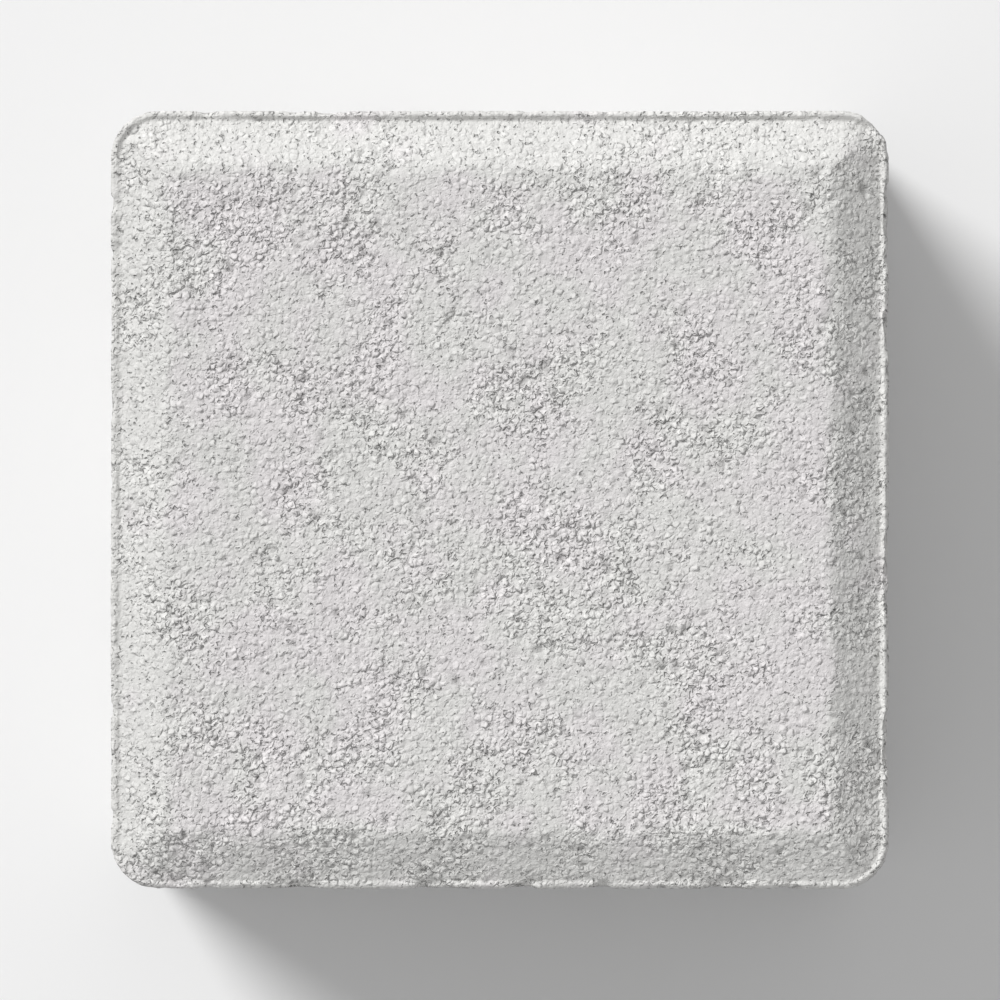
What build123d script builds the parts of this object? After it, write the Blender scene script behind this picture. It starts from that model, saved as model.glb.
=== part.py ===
from build123d import *
from math import atan2, degrees
import os

# Square paving stone of solid concrete, pressed in one piece in a steel mould.
# It lies as it does in use: bed on Z = 0, tread upwards, sides along X and Y,
# origin in the middle of the bed. All sizes are in millimetres.

# Plan of the mould
stone_side = 98.0            # leaves a 2 mm joint between stones on a 100 mm laying grid
corner_radius = 6.0          # upright corners

# Height
stone_height = 60.0          # bed to tread

# Head, shaped by the press plate
ledge_width = 1.5            # flat rim at the foot of the bevel, where plate and mould wall meet
bevel_run = 5.7              # width of the bevel, seen from above
bevel_rise = 3.0             # height of the bevel
tread_arris_radius = 1.5     # soft edge between tread and bevel

# The ledge lies this high above the bed
ledge_height = stone_height - bevel_rise
bevel_lean = degrees(atan2(bevel_run, bevel_rise))


def mould_outline():
    """The stone's plan: a square with rounded corners."""
    return RectangleRounded(stone_side, stone_side, corner_radius)


def shank():
    """The upright sides, from the bed to the ledge."""
    return extrude(mould_outline(), amount=ledge_height)


def head():
    """The bevelled top. Its foot follows the mould's outline inside the ledge, so the bevel
    is conical round each corner until the corner's arc has shrunk away, then mitred."""
    bevel_foot = offset(mould_outline(), amount=-ledge_width, kind=Kind.INTERSECTION)
    return extrude(Plane.XY.offset(ledge_height) * bevel_foot, amount=bevel_rise, taper=bevel_lean)


def soften_tread(stone):
    """Rounds the edge between the tread and the bevel."""
    tread = stone.faces().sort_by(Axis.Z)[-1]
    return fillet(tread.edges(), radius=tread_arris_radius)


paving_stone = soften_tread(shank() + head())

os.makedirs("parts", exist_ok=True)
export_step(paving_stone, "parts/paving_stone.step")
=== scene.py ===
from math import atan2, cos, hypot, pi, radians, sin, sqrt, tan

import bmesh
import bpy
from mathutils import Matrix, Vector, noise


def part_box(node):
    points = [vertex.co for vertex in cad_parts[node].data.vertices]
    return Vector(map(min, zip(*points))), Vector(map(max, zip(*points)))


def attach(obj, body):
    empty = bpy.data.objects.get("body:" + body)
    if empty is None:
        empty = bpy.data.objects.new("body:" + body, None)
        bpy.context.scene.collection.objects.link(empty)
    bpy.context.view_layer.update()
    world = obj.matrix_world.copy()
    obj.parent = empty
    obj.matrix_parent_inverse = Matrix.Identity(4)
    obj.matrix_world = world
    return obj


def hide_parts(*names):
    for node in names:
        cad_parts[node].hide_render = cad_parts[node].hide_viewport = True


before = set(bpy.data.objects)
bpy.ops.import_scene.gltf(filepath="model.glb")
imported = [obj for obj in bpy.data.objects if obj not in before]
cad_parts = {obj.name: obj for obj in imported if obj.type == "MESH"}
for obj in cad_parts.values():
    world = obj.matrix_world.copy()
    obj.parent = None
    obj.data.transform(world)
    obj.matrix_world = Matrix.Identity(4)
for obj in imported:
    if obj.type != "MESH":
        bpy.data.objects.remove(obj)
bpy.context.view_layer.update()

# The stone is one block of earth-moist concrete, pressed and shaken in a steel mould.
# The press plate shapes the head: a flat tread, a bevel and a narrow ledge along the mould's
# wall, where a thin fin of mortar creeps up beside the plate. Sizes are in metres.

mm = 0.001
low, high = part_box("paving_stone")
stone_side = high.x - low.x
stone_height = high.z - low.z
corner_radius = 6.0 * mm
ledge_width = 1.5 * mm
bevel_run = 5.7 * mm
bevel_rise = 3.0 * mm
tread_arris_radius = 1.5 * mm
ledge_height = stone_height - bevel_rise
plate_edge = ledge_width + bevel_run
core_half = stone_side / 2 - corner_radius

# The mesh is finest on the head, half as fine round the sides and on the bed.
side_columns = 100
side_rows = 57
corner_columns = 11
ledge_rings = 6
bevel_rings = 11
bed_rings = 7
weld_distance = 0.1 * mm


def is_upright(edge):
    """True for an edge that runs up the side of the stone."""
    return abs(edge.verts[0].co.z - edge.verts[1].co.z) > ledge_height / 2


def end_faces(block):
    """The faces that close the block, the lowest first. They have the most corners of all."""
    most = max(len(f.verts) for f in block.faces)
    ends = [f for f in block.faces if len(f.verts) == most]
    return sorted(ends, key=lambda f: f.calc_center_median().z)


def in_core(point, reach=core_half):
    """The nearest place in the square between the corners' centres, seen from above."""
    return Vector((max(-reach, min(reach, point.x)), max(-reach, min(reach, point.y))))


def on_ring(point, inset):
    """The place of an outline point on the ring this far inside the mould's outline."""
    core = in_core(point)
    way = (point.xy - core).normalized()
    return (core + way * (corner_radius - inset)).to_3d() + Vector((0, 0, point.z))


def ring_insets(start, end, rings):
    """How far in each ring lies, in even steps that end at the last one."""
    return [start + (end - start) * (k + 1) / rings for k in range(rings)]


def close_end(block, face, insets, cells):
    """Replaces an end face with rings that follow the outline, and a square grid inside them.
    Its lists keep the order in which the parts are made, so that every run welds them alike."""
    level = face.calc_center_median().z
    faces_down = face.normal.z < 0
    rim = list(face.edges)
    bmesh.ops.delete(block, geom=[face], context="FACES_ONLY")
    zone = [v for e in rim for v in e.verts]
    for inset in insets:
        made = bmesh.ops.extrude_edge_only(block, edges=rim)["geom"]
        rim = [g for g in made if isinstance(g, bmesh.types.BMEdge)]
        corners = [g for g in made if isinstance(g, bmesh.types.BMVert)]
        for corner in corners:
            corner.co = on_ring(corner.co, inset)
        zone += corners
    grid = bmesh.ops.create_grid(
        block, x_segments=cells, y_segments=cells, size=core_half,
        matrix=Matrix.Translation((0, 0, level)),
    )["verts"]
    if faces_down:
        cell_faces = list(dict.fromkeys(f for v in grid for f in v.link_faces))
        bmesh.ops.reverse_faces(block, faces=cell_faces)
    bmesh.ops.remove_doubles(block, verts=list(dict.fromkeys(zone)) + grid, dist=weld_distance)


stone = bmesh.new()
bmesh.ops.create_cube(stone, size=1.0)
bmesh.ops.scale(stone, vec=(stone_side, stone_side, ledge_height), verts=stone.verts)
bmesh.ops.translate(stone, vec=(0, 0, ledge_height / 2), verts=stone.verts)
bmesh.ops.bevel(
    stone, geom=[e for e in stone.edges if is_upright(e)], offset=corner_radius, affect="EDGES",
    segments=corner_columns, profile=0.5, material=-1,
)
straight = [e for e in stone.edges if not is_upright(e) and e.calc_length() > core_half]
bmesh.ops.subdivide_edges(stone, edges=straight, cuts=side_columns - 1, use_grid_fill=True)
upright = [e for e in stone.edges if is_upright(e)]
bmesh.ops.subdivide_edges(stone, edges=upright, cuts=side_rows - 1, use_grid_fill=True)

bed = end_faces(stone)[0]
close_end(stone, bed, ring_insets(0.0, corner_radius, bed_rings), side_columns)

# The head's cells are half as wide, and the new points at the corners go out onto the arc.
top = end_faces(stone)[-1]
bmesh.ops.subdivide_edges(stone, edges=list(top.edges), cuts=1)
top = end_faces(stone)[-1]
for corner in top.verts:
    corner.co = on_ring(corner.co, 0.0)
ledge_insets = ring_insets(0.0, ledge_width, ledge_rings)
bevel_insets = ring_insets(ledge_width, corner_radius, bevel_rings)
close_end(stone, top, ledge_insets + bevel_insets, 2 * side_columns)

# The head's section, from the mould's wall inwards: ledge, bevel, soft edge and tread.
bevel_angle = atan2(bevel_rise, bevel_run)
arris_tangent = tread_arris_radius * tan(bevel_angle / 2)
arris_start = plate_edge - arris_tangent * cos(bevel_angle)
arris_end = plate_edge + arris_tangent


def inset_of(point):
    """How far a point lies inside the mould's outline, seen from above."""
    past_x, past_y = abs(point.x) - core_half, abs(point.y) - core_half
    if past_x > 0 and past_y > 0:
        return corner_radius - hypot(past_x, past_y)
    return corner_radius - max(past_x, past_y)


def head_rise(inset):
    """Height of the head above its ledge."""
    if inset <= ledge_width:
        return 0.0
    if inset <= arris_start:
        return (inset - ledge_width) * bevel_rise / bevel_run
    if inset >= arris_end:
        return bevel_rise
    return bevel_rise - tread_arris_radius + sqrt(tread_arris_radius**2 - (arris_end - inset)**2)


mitre_turn = 0.1 * mm


def outward(point):
    """The way out through the nearest side, seen from above. It turns evenly round the corners,
    and at once on the mitres inside them."""
    core = in_core(point, min(core_half, max(abs(point.x), abs(point.y)) - mitre_turn))
    return (point.xy - core).normalized()


# The ledge's own relief: a thin fin along the mould's wall, the groove that the plate's edge
# leaves beside it, and a rounded outer edge. The plate sat a little off the mould's middle, so
# the fin is highest on the +X side, and on the two Y sides the ledge leans towards -Y.
fin_middle = 0.55 * mm
fin_half_width = 0.45 * mm
fin_height = 0.18 * mm
fin_more_towards_x = 0.20 * mm
fin_more_towards_y = 0.06 * mm
fin_long_waves, fin_long_wave_size = 0.30 * mm, 7 * mm
fin_short_waves, fin_short_wave_size = 0.16 * mm, 2 * mm
groove_middle = 1.15 * mm
groove_half_width = 0.35 * mm
groove_depth = 0.11 * mm
groove_more_towards_y = 0.02 * mm
rim_rounding = 0.22 * mm
rim_rounding_width = 0.6 * mm
ledge_lean = 0.40 * mm
ledge_less_lean_at_y = 0.10 * mm


def ridge(inset, middle, half_width):
    """1 in the middle of a ridge or groove that runs along the wall, 0 at its edges."""
    return max(0.0, 1 - abs(inset - middle) / half_width)


def ledge_relief(point):
    """How far a point of the ledge stands above the plate's level."""
    inset = inset_of(point)
    if inset > ledge_width:
        return 0.0
    side = outward(point)
    height = fin_height + fin_more_towards_x * side.x + fin_more_towards_y * side.y
    height += fin_long_waves * noise.noise(point / fin_long_wave_size)
    height += fin_short_waves * noise.noise(point / fin_short_wave_size)
    fin = max(0.0, height) * ridge(inset, fin_middle, fin_half_width)
    groove = groove_depth + groove_more_towards_y * side.y
    groove *= ridge(inset, groove_middle, groove_half_width)
    rounding = rim_rounding * max(0.0, 1 - inset / rim_rounding_width)**2
    lean = (ledge_lean - ledge_less_lean_at_y * side.y) * side.y * (1 - inset / ledge_width)
    return fin - groove - rounding + lean


# Up to here the whole head lies flat, at the level of the ledge.
head_floor = ledge_height - 0.01 * mm
for corner in stone.verts:
    if corner.co.z > head_floor:
        corner.co.z = ledge_height + head_rise(inset_of(corner.co)) + ledge_relief(corner.co)
stone.normal_update()

# The surface is never quite flat. Sand grains stand out of it with small gaps between them,
# and in patches a film of cement closes it. Everything is taken off the block, never added.
# A depth is the most that one kind of roughness takes off.
grain_size = 0.8 * mm
grain_depth, bare_grain_depth = 0.13 * mm, 0.17 * mm
crumb_size = 2.4 * mm
crumb_depth, bare_crumb_depth = 0.06 * mm, 0.06 * mm
swell_size, swell_depth = 21.0 * mm, 0.12 * mm
patch_size = 10.0 * mm
gap_size, gap_depth = 1.1 * mm, 0.30 * mm

drawn_share = 0.06
streak_size, streak_depth = 1.6 * mm, 0.22 * mm
band_size, band_depth = 7 * mm, 0.26 * mm
side_crumb_depth = 0.12 * mm
side_patch_size = 9 * mm
loss_size = 2.2 * mm
side_loss_depth = 0.6 * mm

bed_crumb_size, bed_crumb_depth = 2.0 * mm, 0.22 * mm
bed_lump_size, bed_lump_depth = 5 * mm, 0.2 * mm
bed_loss_depth = 0.5 * mm


def fade(value, start, end):
    """0 below start, 1 above end, and a smooth step between them."""
    share = max(0.0, min(1.0, (value - start) / (end - start)))
    return share * share * (3 - 2 * share)


def hills(point, size, seed):
    """Smooth noise about 0.5, with hills about this far apart."""
    return 0.5 + 0.5 * noise.noise(point / size + Vector((seed, -seed, 2 * seed)))


def openness(point):
    """1 where the sand lies open, 0 under a film of cement."""
    patch = 0.65 * hills(point, patch_size, 3.1) + 0.35 * hills(point, patch_size / 3, 5.7)
    return fade(patch, 0.36, 0.68)


def on_bevel(point):
    """1 on the ledge and the bevel, 0 on the tread, with a smooth step at the plate's edge."""
    return 1 - fade(inset_of(point), plate_edge - 1 * mm, plate_edge + 2 * mm)


def packing(point):
    """How well the mix under the ledge and the bevel was packed when the mould was filled, and so
    how far the cement closes over the sand: best along +Y, least along -Y and +X, and the same
    all round at the wall."""
    side = outward(point)
    at_wall = 0.15
    inside = 0.50 * side.y - 0.60 * max(0.0, side.x)
    return at_wall + (inside - at_wall) * fade(inset_of(point), 0.0, ledge_width)


def pressed_relief(point):
    """Depth taken off the head, how bare its sand is, and how much is gap."""
    bare = min(1.0, openness(point) * (1 - packing(point) * on_bevel(point)))
    grain = hills(point, grain_size, 1.3) * (grain_depth + bare_grain_depth * bare)
    crumb = hills(point, crumb_size, 2.2) * (crumb_depth + bare_crumb_depth * bare)
    swell = hills(point, swell_size, 9.4) * swell_depth
    gap = fade(hills(point, gap_size, 4.0), 0.75 - 0.05 * bare, 0.87 - 0.05 * bare)
    return grain + crumb + swell + gap * gap_depth, bare, gap


def drawn_relief(point):
    """The same for the sides, which the mould drags upwards as the stone leaves it. The marks
    are about 16 times as long as they are wide, and the sand is barest near the bed."""
    drawn = Vector((point.x, point.y, point.z * drawn_share))
    streak = hills(drawn, streak_size, 7.7) * streak_depth
    band = hills(drawn, band_size, 8.8) * band_depth
    crumb = hills(point, crumb_size, 6.1) * side_crumb_depth
    bareness = hills(point, side_patch_size, 2.9) + 0.20 * (1 - point.z / stone_height)
    bare = fade(bareness, 0.50, 0.80)
    gap = fade(hills(point, loss_size, 6.0), 0.74 - 0.10 * bare, 0.86 - 0.10 * bare)
    return streak + band + crumb + gap * side_loss_depth, bare, gap


def bed_relief(point):
    """The same for the bed, which was shaken down on a board and stays coarse."""
    crumb = hills(point, bed_crumb_size, 3.3) * bed_crumb_depth
    lump = hills(point, bed_lump_size, 1.9) * bed_lump_depth
    gap = fade(hills(point, loss_size, 8.0), 0.62, 0.80)
    return crumb + lump + gap * bed_loss_depth, 1.0, gap


# Wear reaches this far from the three edges that run round the stone: the ledge's rim, the
# foot, and the brow, where the bevel meets the tread.
rim_reach = 1.7 * mm
foot_reach = 2.2 * mm
brow_reach = 1.3 * mm


def wear(point):
    """Depth worn or broken off these edges. The foot has knocks, thicker in some stretches."""
    inset = max(0.0, inset_of(point))
    rim = max(0.0, 1 - hypot(inset, ledge_height - min(point.z, ledge_height)) / rim_reach)
    foot = max(0.0, 1 - hypot(inset, point.z) / foot_reach)
    brow = hypot(inset - plate_edge, max(0.0, ledge_height - point.z)) / brow_reach
    brow = max(0.0, 1 - brow)
    rim_chips = 0.8 * mm * fade(hills(point, 3.2 * mm, 5.2), 0.58, 0.80)
    knocks = fade(hills(point, 4.5 * mm, 7.1), 0.50, 0.76)
    knocks *= 0.35 + fade(hills(point, 19 * mm, 1.7), 0.42, 0.62)
    brow_chips = 0.30 * mm * fade(hills(point, 2.6 * mm, 3.8), 0.55, 0.85)
    return rim * rim_chips + foot * (0.30 + knocks) * mm + brow * (0.05 * mm + brow_chips)


# The head is where the surface rises by more than this, and the bed where it falls by more.
steep = 0.3


def inwards(corner):
    """The way in from a point of the surface, turned evenly round the block's edges so that the
    faces there don't fold over."""
    out = outward(corner.co).to_3d()
    up = Vector((0, 0, 1))
    inset = max(0.0, inset_of(corner.co))
    if corner.normal.z > steep:
        level = up if inset < ledge_width else corner.normal
        return -(level + max(0.0, 1 - inset / ledge_width) * out).normalized()
    if corner.normal.z < -steep:
        return (up - max(0.0, 1 - inset / foot_reach) * out).normalized()
    to_top = max(0.0, 1 - (ledge_height - corner.co.z) / ledge_width)
    to_foot = max(0.0, 1 - corner.co.z / foot_reach)
    return -(out + (to_top - to_foot) * up).normalized()


# A flat map of the stone. The head fills its lower left and the bed its upper left, and the
# four sides are unrolled beside them, each with half of the two corners that it meets.
head, sides, underside = 0, 1, 2
head_patch = 0.56
side_patch = 1 - head_patch
spare_turn = 0.15
side_length = 2 * core_half + corner_radius * (pi / 2 + spare_turn)
side_band = side_patch * ledge_height / side_length
patch_margin = 0.002


def in_patch(left, foot, width, height, across, up):
    """A place in the map, from its shares of a patch's width and height."""
    return (
        left + patch_margin + across * (width - 2 * patch_margin),
        foot + patch_margin + up * (height - 2 * patch_margin),
    )


def quarter_of(point):
    """Which side a point is nearest to: 0 for +X, then counter-clockwise."""
    return round(atan2(outward(point).y, outward(point).x) / (pi / 2)) % 4


def on_side(point, quarter):
    """How far along an unrolled side a point lies, and how far up, as shares of the side."""
    turned = Matrix.Rotation(-quarter * pi / 2, 3, "Z") @ point
    nearest = max(-core_half, min(core_half, turned.y))
    run = nearest + corner_radius * atan2(turned.y - nearest, turned.x - core_half)
    return 0.5 + run / side_length, point.z / ledge_height


def map_place(point, part, quarter):
    """Where a point of the stone lies in the map."""
    across, up = 0.5 + point.x / stone_side, 0.5 + point.y / stone_side
    if part == head:
        return in_patch(0, 0, head_patch, head_patch, across, up)
    if part == underside:
        return in_patch(0, head_patch, side_patch, side_patch, 1 - across, up)
    across, up = on_side(point, quarter)
    if quarter < 2:
        return in_patch(head_patch, quarter * side_band, side_patch, side_band, across, up)
    left = side_patch + (quarter - 2) * side_band
    return in_patch(left, head_patch, side_band, side_patch, 1 - up, across)


flat_map = stone.loops.layers.uv.new("OFBake")
for face in stone.faces:
    rise = face.normal.z
    face.material_index = head if rise > steep else underside if rise < -steep else sides
    quarter = quarter_of(face.calc_center_median())
    for loop in face.loops:
        loop[flat_map].uv = map_place(loop.vert.co, face.material_index, quarter)


def painted_bevel_light(point):
    """Painted light and shade on the ledge and the bevel, set side by side as the light falls on
    them: how much paler they are made than the tread, or darker below 0. They are palest on the
    two Y sides, and paler towards -Y and +X."""
    side = outward(point)
    painted_tilt = 0.35 * (side.x - side.y)
    return on_bevel(point) * (1.2 * side.y**2 - 0.6 * side.x**2 + painted_tilt)


# The materials read these at each point: how bare the sand is, how much is gap, how far it is
# on the bevel, and how much painted light and shade the bevel takes there. The relief is taken
# off once all are known.
bare_layer = stone.verts.layers.float.new("bare")
gap_layer = stone.verts.layers.float.new("gap")
bevel_layer = stone.verts.layers.float.new("bevel")
# The last layer holds painted light and shade for the ledge and the bevel.
painted_light_layer = stone.verts.layers.float.new("painted_light")
moves = []
for corner in stone.verts:
    if corner.normal.z > steep:
        depth, bare, gap = pressed_relief(corner.co)
        corner[bevel_layer] = on_bevel(corner.co)
        corner[painted_light_layer] = painted_bevel_light(corner.co)
    elif corner.normal.z < -steep:
        depth, bare, gap = bed_relief(corner.co)
    else:
        depth, bare, gap = drawn_relief(corner.co)
    corner[bare_layer] = bare
    corner[gap_layer] = gap
    moves.append((corner, inwards(corner) * (depth + wear(corner.co))))
for corner, move in moves:
    corner.co += move

mesh = bpy.data.meshes.new("cast_stone")
stone.to_mesh(mesh)
stone.free()
mesh.polygons.foreach_set("use_smooth", [True] * len(mesh.polygons))
cast_stone = bpy.data.objects.new("cast_stone", mesh)
bpy.context.collection.objects.link(cast_stone)


def node(tree, kind, inputs=None, **settings):
    """Adds a node with these settings. An input is a value, or the output that it is linked to."""
    made = tree.nodes.new(kind)
    for name, value in settings.items():
        setattr(made, name, value)
    for socket, value in (inputs or {}).items():
        if isinstance(value, bpy.types.NodeSocket):
            tree.links.new(value, made.inputs[socket])
        else:
            made.inputs[socket].default_value = value
    return made


def sums(tree, operation, *values):
    """The result of one Math node."""
    return node(tree, "ShaderNodeMath", dict(enumerate(values)), operation=operation).outputs[0]


def ramp(tree, value, start, end, low_value=0.0, high_value=1.0):
    """A smooth step of value from start to end, between two values."""
    limits = {"From Min": start, "From Max": end, "To Min": low_value, "To Max": high_value}
    made = node(
        tree, "ShaderNodeMapRange", {"Value": value, **limits}, interpolation_type="SMOOTHSTEP"
    )
    return made.outputs[0]


def clouds(tree, place, size, detail):
    """Soft noise with clouds of about this size."""
    return node(tree, "ShaderNodeTexNoise", {"Vector": place, "Scale": 1 / size, "Detail": detail})


def blend(tree, factor, first, second, **settings):
    """A mix of two colours."""
    made = node(
        tree, "ShaderNodeMix", {"Factor": factor, 6: first, 7: second}, data_type="RGBA", **settings
    )
    return made.outputs[2]


# Sand in cement, at the size that the mesh can't show. Places and sizes are in millimetres,
# and tones are shares of the paste's colour. Some coarse grains are pale quartz and some fine
# ones are dark, and small holes lie between them.
coarse_sand = 0.85
fine_sand = 0.42
hole_size = 0.5
dust_size = 0.2
ripple_size = 0.625
pale_grain_tone = 0.15
dark_grain_tone = -0.16
fine_grain_tones = 0.15
dust_tones = 0.12
# Painted shade: this darkens the small holes, which are only a bump.
painted_hole_shade = 0.72
# Painted shade: this darkens the gaps in the mesh.
painted_gap_shade = 0.72
coarse_grain_height = 0.46
fine_grain_height = 0.15
dust_height = 0.04
hole_depth = -0.36

sand = bpy.data.node_groups.new("sand in cement", "ShaderNodeTree")
for name, kind, way in (
    ("Place", "Vector", "INPUT"), ("Bare", "Float", "INPUT"), ("Gap", "Float", "INPUT"),
    ("Tone", "Float", "OUTPUT"), ("Relief", "Float", "OUTPUT"), ("Quartz", "Float", "OUTPUT"),
):
    sand.interface.new_socket(name, in_out=way, socket_type="NodeSocket" + kind)
given = node(sand, "NodeGroupInput").outputs
middle = (0.5, 0.5, 0.5)
ripple = clouds(sand, given["Place"], ripple_size, 0.0).outputs["Color"]
ripple = node(sand, "ShaderNodeVectorMath", {0: ripple, 1: middle}, operation="SUBTRACT").outputs[0]
place = node(
    sand, "ShaderNodeVectorMath", {0: ripple, 1: middle, 2: given["Place"]},
    operation="MULTIPLY_ADD",
).outputs[0]
coarse = node(sand, "ShaderNodeTexVoronoi", {"Vector": place, "Scale": 1 / coarse_sand}).outputs
fine = node(sand, "ShaderNodeTexVoronoi", {"Vector": place, "Scale": 1 / fine_sand}).outputs
dust = clouds(sand, given["Place"], dust_size, 1.0).outputs[0]
holes = clouds(sand, place, hole_size, 1.0).outputs[0]
coarse_luck = node(sand, "ShaderNodeSeparateColor", {"Color": coarse["Color"]}).outputs
fine_luck = node(sand, "ShaderNodeSeparateColor", {"Color": fine["Color"]}).outputs

coarse_dome = ramp(sand, coarse["Distance"], 0.10, 0.80, 1.0, 0.0)
fine_dome = ramp(sand, fine["Distance"], 0.10, 0.80, 1.0, 0.0)
hole_start = ramp(sand, given["Bare"], 0.0, 1.0, 0.63, 0.565)
hole = ramp(sand, sums(sand, "SUBTRACT", holes, hole_start), 0.0, 0.20)
pale = sums(sand, "MULTIPLY", ramp(sand, coarse_luck[1], 0.66, 0.80), coarse_dome)
dark = sums(sand, "MULTIPLY", ramp(sand, fine_luck[0], 0.80, 0.90), fine_dome)

tone = sums(sand, "MULTIPLY", dark, dark_grain_tone)
tone = sums(sand, "MULTIPLY_ADD", pale, pale_grain_tone, tone)
tone = sums(sand, "MULTIPLY_ADD", fine_luck[2], fine_grain_tones, tone)
tone = sums(sand, "MULTIPLY", tone, ramp(sand, given["Bare"], 0.0, 1.0, 0.7, 1.05))
tone = sums(sand, "ADD", tone, ramp(sand, given["Bare"], 0.0, 1.0, 0.988, 1.045))
tone = sums(sand, "MULTIPLY_ADD", dust, dust_tones, tone)
# Painted shade: the small holes are darkened where shade would fall in them.
tone = sums(sand, "MULTIPLY", tone, ramp(sand, hole, 0.0, 1.0, 1.0, painted_hole_shade))
# Painted shade: the gaps in the mesh are darkened on top of the shade that they get.
tone = sums(sand, "MULTIPLY", tone, ramp(sand, given["Gap"], 0.1, 1.0, 1.0, painted_gap_shade))

coarse_height = sums(sand, "POWER", coarse_luck[0], 1.5)
coarse_height = sums(sand, "MULTIPLY", coarse_height, coarse_grain_height)
fine_height = sums(sand, "MULTIPLY", fine_luck[1], fine_grain_height)
relief = sums(sand, "MULTIPLY", coarse_dome, coarse_height)
relief = sums(sand, "MULTIPLY_ADD", fine_dome, fine_height, relief)
relief = sums(sand, "MULTIPLY", relief, ramp(sand, given["Bare"], 0.0, 1.0, 0.60, 1.30))
relief = sums(sand, "MULTIPLY_ADD", dust, dust_height, relief)
relief = sums(sand, "MULTIPLY_ADD", hole, hole_depth, relief)
node(sand, "NodeGroupOutput", {"Tone": tone, "Relief": relief, "Quartz": pale})

# Marks are the streaks that the mould leaves, and clouds the slow drift between two colours of
# paste, which sits nearer to the second one on the bevel.
painted_light_strength = 0.055
mark_size = 2.4
mark_stretch = 1 / 0.045
cloud_size = 9
bevel_tint = 0.18
paste_roughness = 0.93
quartz_roughness = 0.70


def concrete(name, paste_colour, other_colour, stretch=1.0, mark_tone=0.0, mark_depth=0.0):
    """The stone's concrete on one of its faces. Stretch is how far the mould has drawn the sand
    upwards, and the marks have a tone and, in millimetres, a depth."""
    material = bpy.data.materials.new(name)
    material.use_nodes = True
    tree = material.node_tree
    shader = tree.nodes["Principled BSDF"]
    shader.inputs["Specular IOR Level"].default_value = 0.3
    metres = node(tree, "ShaderNodeTexCoord").outputs["Object"]
    sand_scale = (1 / mm, 1 / mm, 1 / mm / stretch)
    place = node(tree, "ShaderNodeMapping", {"Vector": metres, "Scale": sand_scale}).outputs[0]
    bare, gap, bevel, painted_light = (
        node(tree, "ShaderNodeAttribute", attribute_name=layer).outputs["Fac"]
        for layer in ("bare", "gap", "bevel", "painted_light")
    )
    grains = node(
        tree, "ShaderNodeGroup", {"Place": place, "Bare": bare, "Gap": gap}, node_tree=sand
    ).outputs
    tone, relief = grains["Tone"], grains["Relief"]
    # Painted light and shade: the ledge and the bevel are made paler or darker side by side.
    tone = sums(tree, "MULTIPLY", tone, sums(tree, "MULTIPLY_ADD", painted_light, painted_light_strength, 1.0))
    if mark_tone:
        mark_scale = (1 / mm, 1 / mm, 1 / mm / mark_stretch)
        lines = node(tree, "ShaderNodeMapping", {"Vector": metres, "Scale": mark_scale}).outputs[0]
        marks = clouds(tree, lines, mark_size, 3.0).outputs[0]
        marks_tone = ramp(tree, marks, 0.3, 0.7, 1 - mark_tone, 1 + mark_tone)
        tone = sums(tree, "MULTIPLY", tone, marks_tone)
        relief = sums(tree, "MULTIPLY_ADD", marks, mark_depth, relief)
    tint = clouds(tree, place, cloud_size, 2.0).outputs[0]
    tint = ramp(tree, sums(tree, "MULTIPLY_ADD", bevel, bevel_tint, tint), 0.35, 0.65)
    paste = blend(tree, tint, (*paste_colour, 1), (*other_colour, 1))
    colour = blend(tree, 1.0, paste, tone, blend_type="MULTIPLY")
    tree.links.new(colour, shader.inputs["Base Color"])
    roughness = ramp(tree, grains["Quartz"], 0.0, 1.0, paste_roughness, quartz_roughness)
    tree.links.new(roughness, shader.inputs["Roughness"])
    bump = node(tree, "ShaderNodeBump", {"Strength": 1.0, "Distance": mm, "Height": relief})
    tree.links.new(bump.outputs[0], shader.inputs["Normal"])
    return material


mesh.materials.append(concrete("pressed face", (0.6235, 0.602, 0.604), (0.609, 0.605, 0.590)))
mesh.materials.append(concrete(
    "drawn sides", (0.584, 0.573, 0.566), (0.573, 0.568, 0.554),
    stretch=1.6, mark_tone=0.12, mark_depth=0.25,
))
mesh.materials.append(concrete("bed", (0.575, 0.560, 0.545), (0.560, 0.550, 0.540)))

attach(cast_stone, "root")
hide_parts("paving_stone")

# The floor is a wide, pale and matt board that the stone lies on. The camera sees it nearly
# white, while on the stone it throws the light of a mid grey.

floor_size = 8.0
board_grey = (0.5, 0.5, 0.5, 1)
backdrop_grey = (0.87, 0.87, 0.87, 1)
board_roughness = 0.9


def seen_directly(tree):
    """1 for rays from the camera and for what a gloss or a glass shows of them."""
    rays = node(tree, "ShaderNodeLightPath").outputs
    mirrored = sums(tree, "ADD", rays["Is Camera Ray"], rays["Is Glossy Ray"])
    return sums(tree, "MINIMUM", sums(tree, "ADD", mirrored, rays["Is Transmission Ray"]), 1.0)


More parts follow.
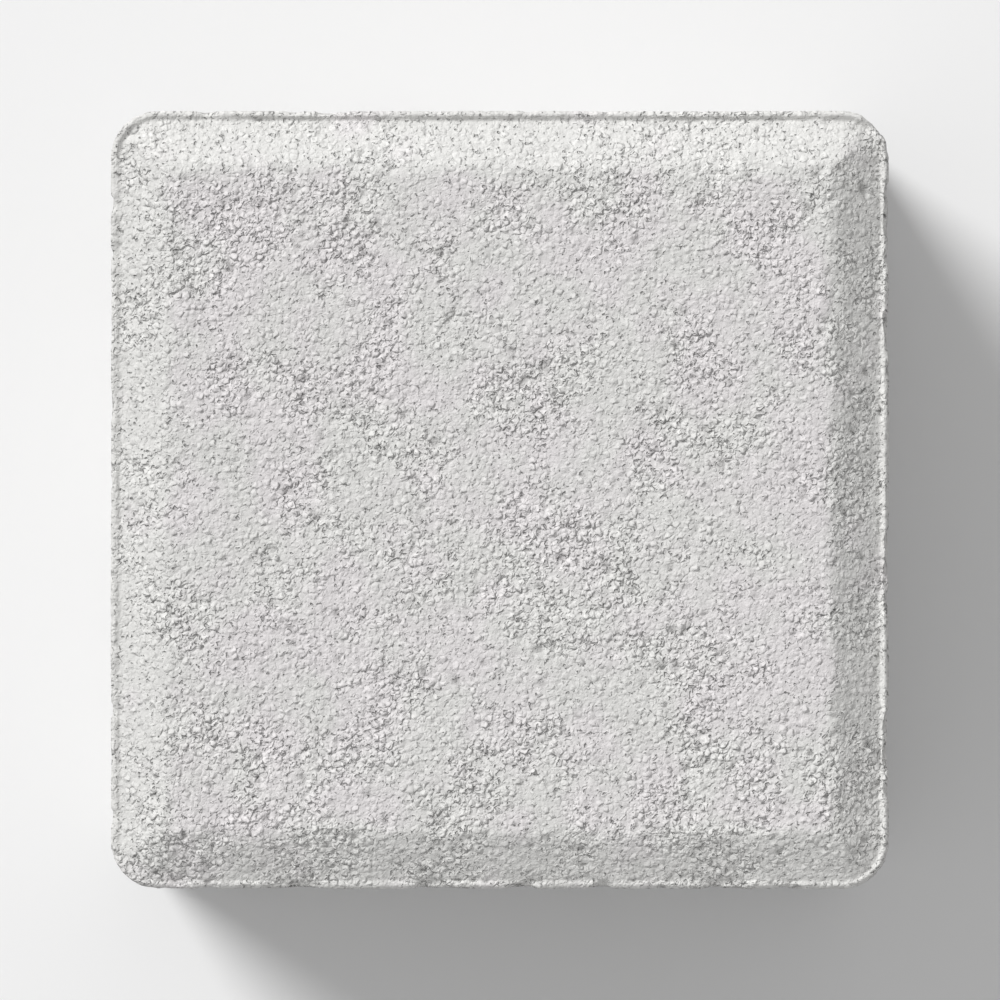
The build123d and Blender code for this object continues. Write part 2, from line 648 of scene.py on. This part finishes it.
floor_mesh = bmesh.new()
bmesh.ops.create_grid(floor_mesh, x_segments=1, y_segments=1, size=floor_size / 2)
floor_data = bpy.data.meshes.new("pale_floor")
floor_mesh.to_mesh(floor_data)
floor_mesh.free()
floor = bpy.data.objects.new("pale_floor", floor_data)
bpy.context.collection.objects.link(floor)
board = bpy.data.materials.new("pale board")
board.use_nodes = True
paint = board.node_tree
board_colour = blend(paint, seen_directly(paint), board_grey, backdrop_grey)
paint.links.new(board_colour, paint.nodes["Principled BSDF"].inputs["Base Color"])
paint.nodes["Principled BSDF"].inputs["Roughness"].default_value = board_roughness
paint.nodes["Principled BSDF"].inputs["Specular IOR Level"].default_value = 0.0
floor_data.materials.append(board)

# A wide soft lamp stands at the upper left of the picture, and the pale room fills in the
# rest. Towards the camera the room's walls are as pale as the floor.

lamp_bearing = radians(134)
lamp_elevation = radians(34)
lamp_spread = radians(24)
lamp_strength = 2.91
fill_strength = 0.484
lamp = bpy.data.lights.new("key lamp", "SUN")
lamp.angle = lamp_spread
lamp.energy = lamp_strength
key = bpy.data.objects.new("key lamp", lamp)
level_reach = cos(lamp_elevation)
towards_key = Vector((
    level_reach * cos(lamp_bearing), level_reach * sin(lamp_bearing), sin(lamp_elevation)
))
key.location = towards_key
key.rotation_mode = "QUATERNION"
key.rotation_quaternion = towards_key.to_track_quat("Z", "Y")
bpy.context.collection.objects.link(key)

room = bpy.data.worlds.new("room")
room.use_nodes = True
air = room.node_tree
fill = air.nodes["Background"]
fill.inputs["Color"].default_value = (1, 1, 1, 1)
fill.inputs["Strength"].default_value = fill_strength
wall = node(air, "ShaderNodeBackground", {"Color": backdrop_grey, "Strength": 1.0})
mixed = node(
    air, "ShaderNodeMixShader", {0: seen_directly(air), 1: fill.outputs[0], 2: wall.outputs[0]}
)
air.links.new(mixed.outputs[0], air.nodes["World Output"].inputs["Surface"])
bpy.context.scene.world = room

# The camera looks straight down on the tread, from far above it, with a long lens. The stone
# takes this share of the picture's width.

stone_share = 0.78
lens_length = 350
sensor_width = 36
camera = bpy.data.cameras.new("camera")
camera.lens = lens_length
camera.sensor_width = sensor_width
camera.clip_start = 0.01
camera.clip_end = 10
view_width = stone_side / stone_share
camera_object = bpy.data.objects.new("camera", camera)
camera_object.location = (0, 0, ledge_height + view_width * lens_length / sensor_width)
bpy.context.collection.objects.link(camera_object)
bpy.context.scene.camera = camera_object
bpy.context.scene.view_settings.view_transform = "Standard"
